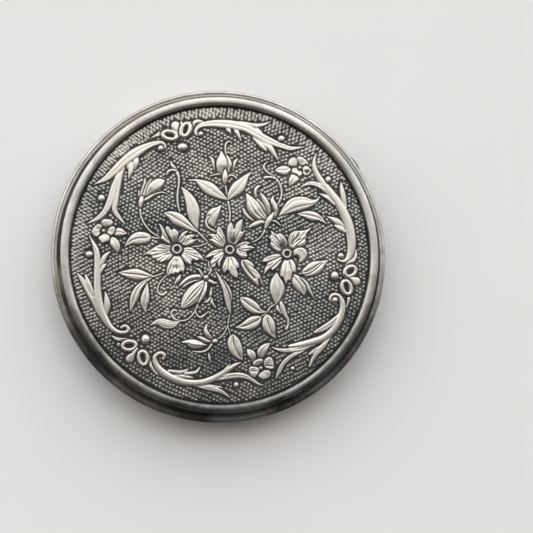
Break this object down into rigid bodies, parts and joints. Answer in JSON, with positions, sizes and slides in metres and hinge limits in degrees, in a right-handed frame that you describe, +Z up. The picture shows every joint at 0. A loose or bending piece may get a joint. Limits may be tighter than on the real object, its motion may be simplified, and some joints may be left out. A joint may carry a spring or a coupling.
{
  "type": "powder compact",
  "caption": "Round hinged powder compact with an embossed floral silver lid, a mirror inside the lid, a powder door, pressed powder and a velour puff.",
  "frame": {"origin": "centre of the flat face under the base", "axes": "+Z up through the closed lid, +Y towards the hinge, -Y towards the thumb-piece, +X along the hinge pin"},
  "size_m": [0.085, 0.0858, 0.012],
  "materials": {
    "oxidised_silver": "tarnished silver, softly polished on the high places",
    "embossed_silver": "embossed silver with dark patina in its recesses",
    "bright_silver": "bright silver, lightly tarnished",
    "gilt_brass": "worn gilt",
    "tinned_steel": "dull tinned",
    "mirror": "silvered glass",
    "card": "plain grey-brown card",
    "pressed_powder": "matt pressed powder",
    "puff_velour": "cotton velour",
    "puff_satin": "satin",
    "puff_satin_ribbon": "satin ribbon"
  },
  "bodies": {
    "root": {"base_shell": "oxidised_silver", "base_collar": "bright_silver", "inner_deck": "gilt_brass", "powder_well": "gilt_brass", "powder_pan": "tinned_steel", "powder_cake": "pressed_powder", "puff_pad": "puff_velour", "puff_cap": "puff_satin", "puff_ribbon": "puff_satin_ribbon", "catch_lug": "bright_silver", "base_hinge_knuckles": "oxidised_silver", "hinge_pin": "tinned_steel", "door_hinge_brackets": "gilt_brass", "door_hinge_pin": "tinned_steel"},
    "lid": {"lid_frame": "oxidised_silver", "embossed_panel": "embossed_silver", "mirror_backing": "card", "mirror_glass": "mirror", "mirror_bezel": "gilt_brass", "lid_hinge_knuckles": "oxidised_silver", "thumb_piece": "oxidised_silver"},
    "powder_door": {"door_plate": "gilt_brass", "door_hinge_knuckle": "gilt_brass", "door_tab": "gilt_brass"}
  },
  "joints": [
    {"name": "lid_hinge", "type": "hinge", "parent": "root", "child": "lid", "pos_m": [0, 0.0412, 0.006], "axis": [-1, 0, 0], "range_deg": [0, 115]},
    {"name": "door_hinge", "type": "hinge", "parent": "root", "child": "powder_door", "pos_m": [0, 0.0349, 0.00715], "axis": [-1, 0, 0], "range_deg": [0, 69]}
  ],
  "couplings": [
    {"joint": "door_hinge", "follows": "lid_hinge", "ratio": 0.6}
  ]
}
